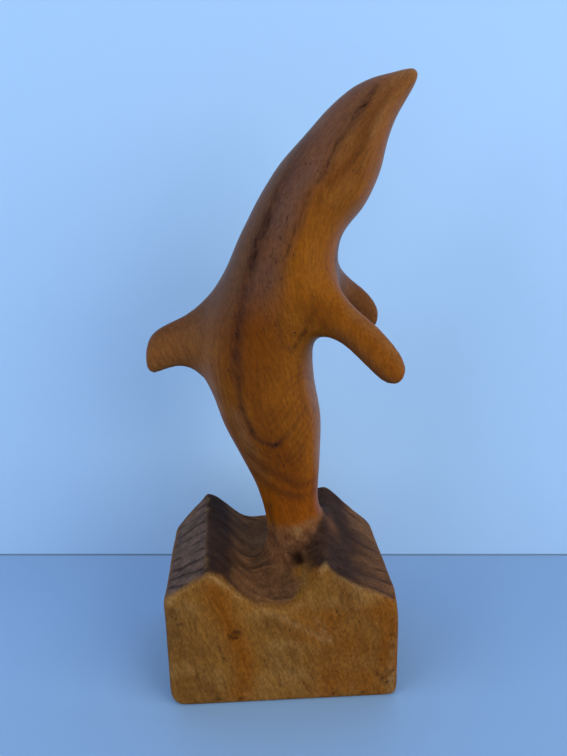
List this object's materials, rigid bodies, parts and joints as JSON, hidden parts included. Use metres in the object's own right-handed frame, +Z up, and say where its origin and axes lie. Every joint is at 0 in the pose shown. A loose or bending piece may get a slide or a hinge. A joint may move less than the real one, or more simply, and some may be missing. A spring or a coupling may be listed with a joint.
{
  "type": "wooden dolphin carving",
  "caption": "Dolphin leaping upright from a rectangular block with carved waves, cut in one piece of wood, as a standing ornament.",
  "frame": {"origin": "on the block's flat underside, in the middle of its driving width and depth, where it rests on a table", "axes": "+Z up along the leap, -Y towards the front of the block, +X the side that the dolphin's belly and beak face"},
  "size_m": [0.1304, 0.0839, 0.3004],
  "materials": {
    "carved_wood": "polished"
  },
  "bodies": {
    "root": {"dolphin_carving": "carved_wood"}
  },
  "joints": []
}
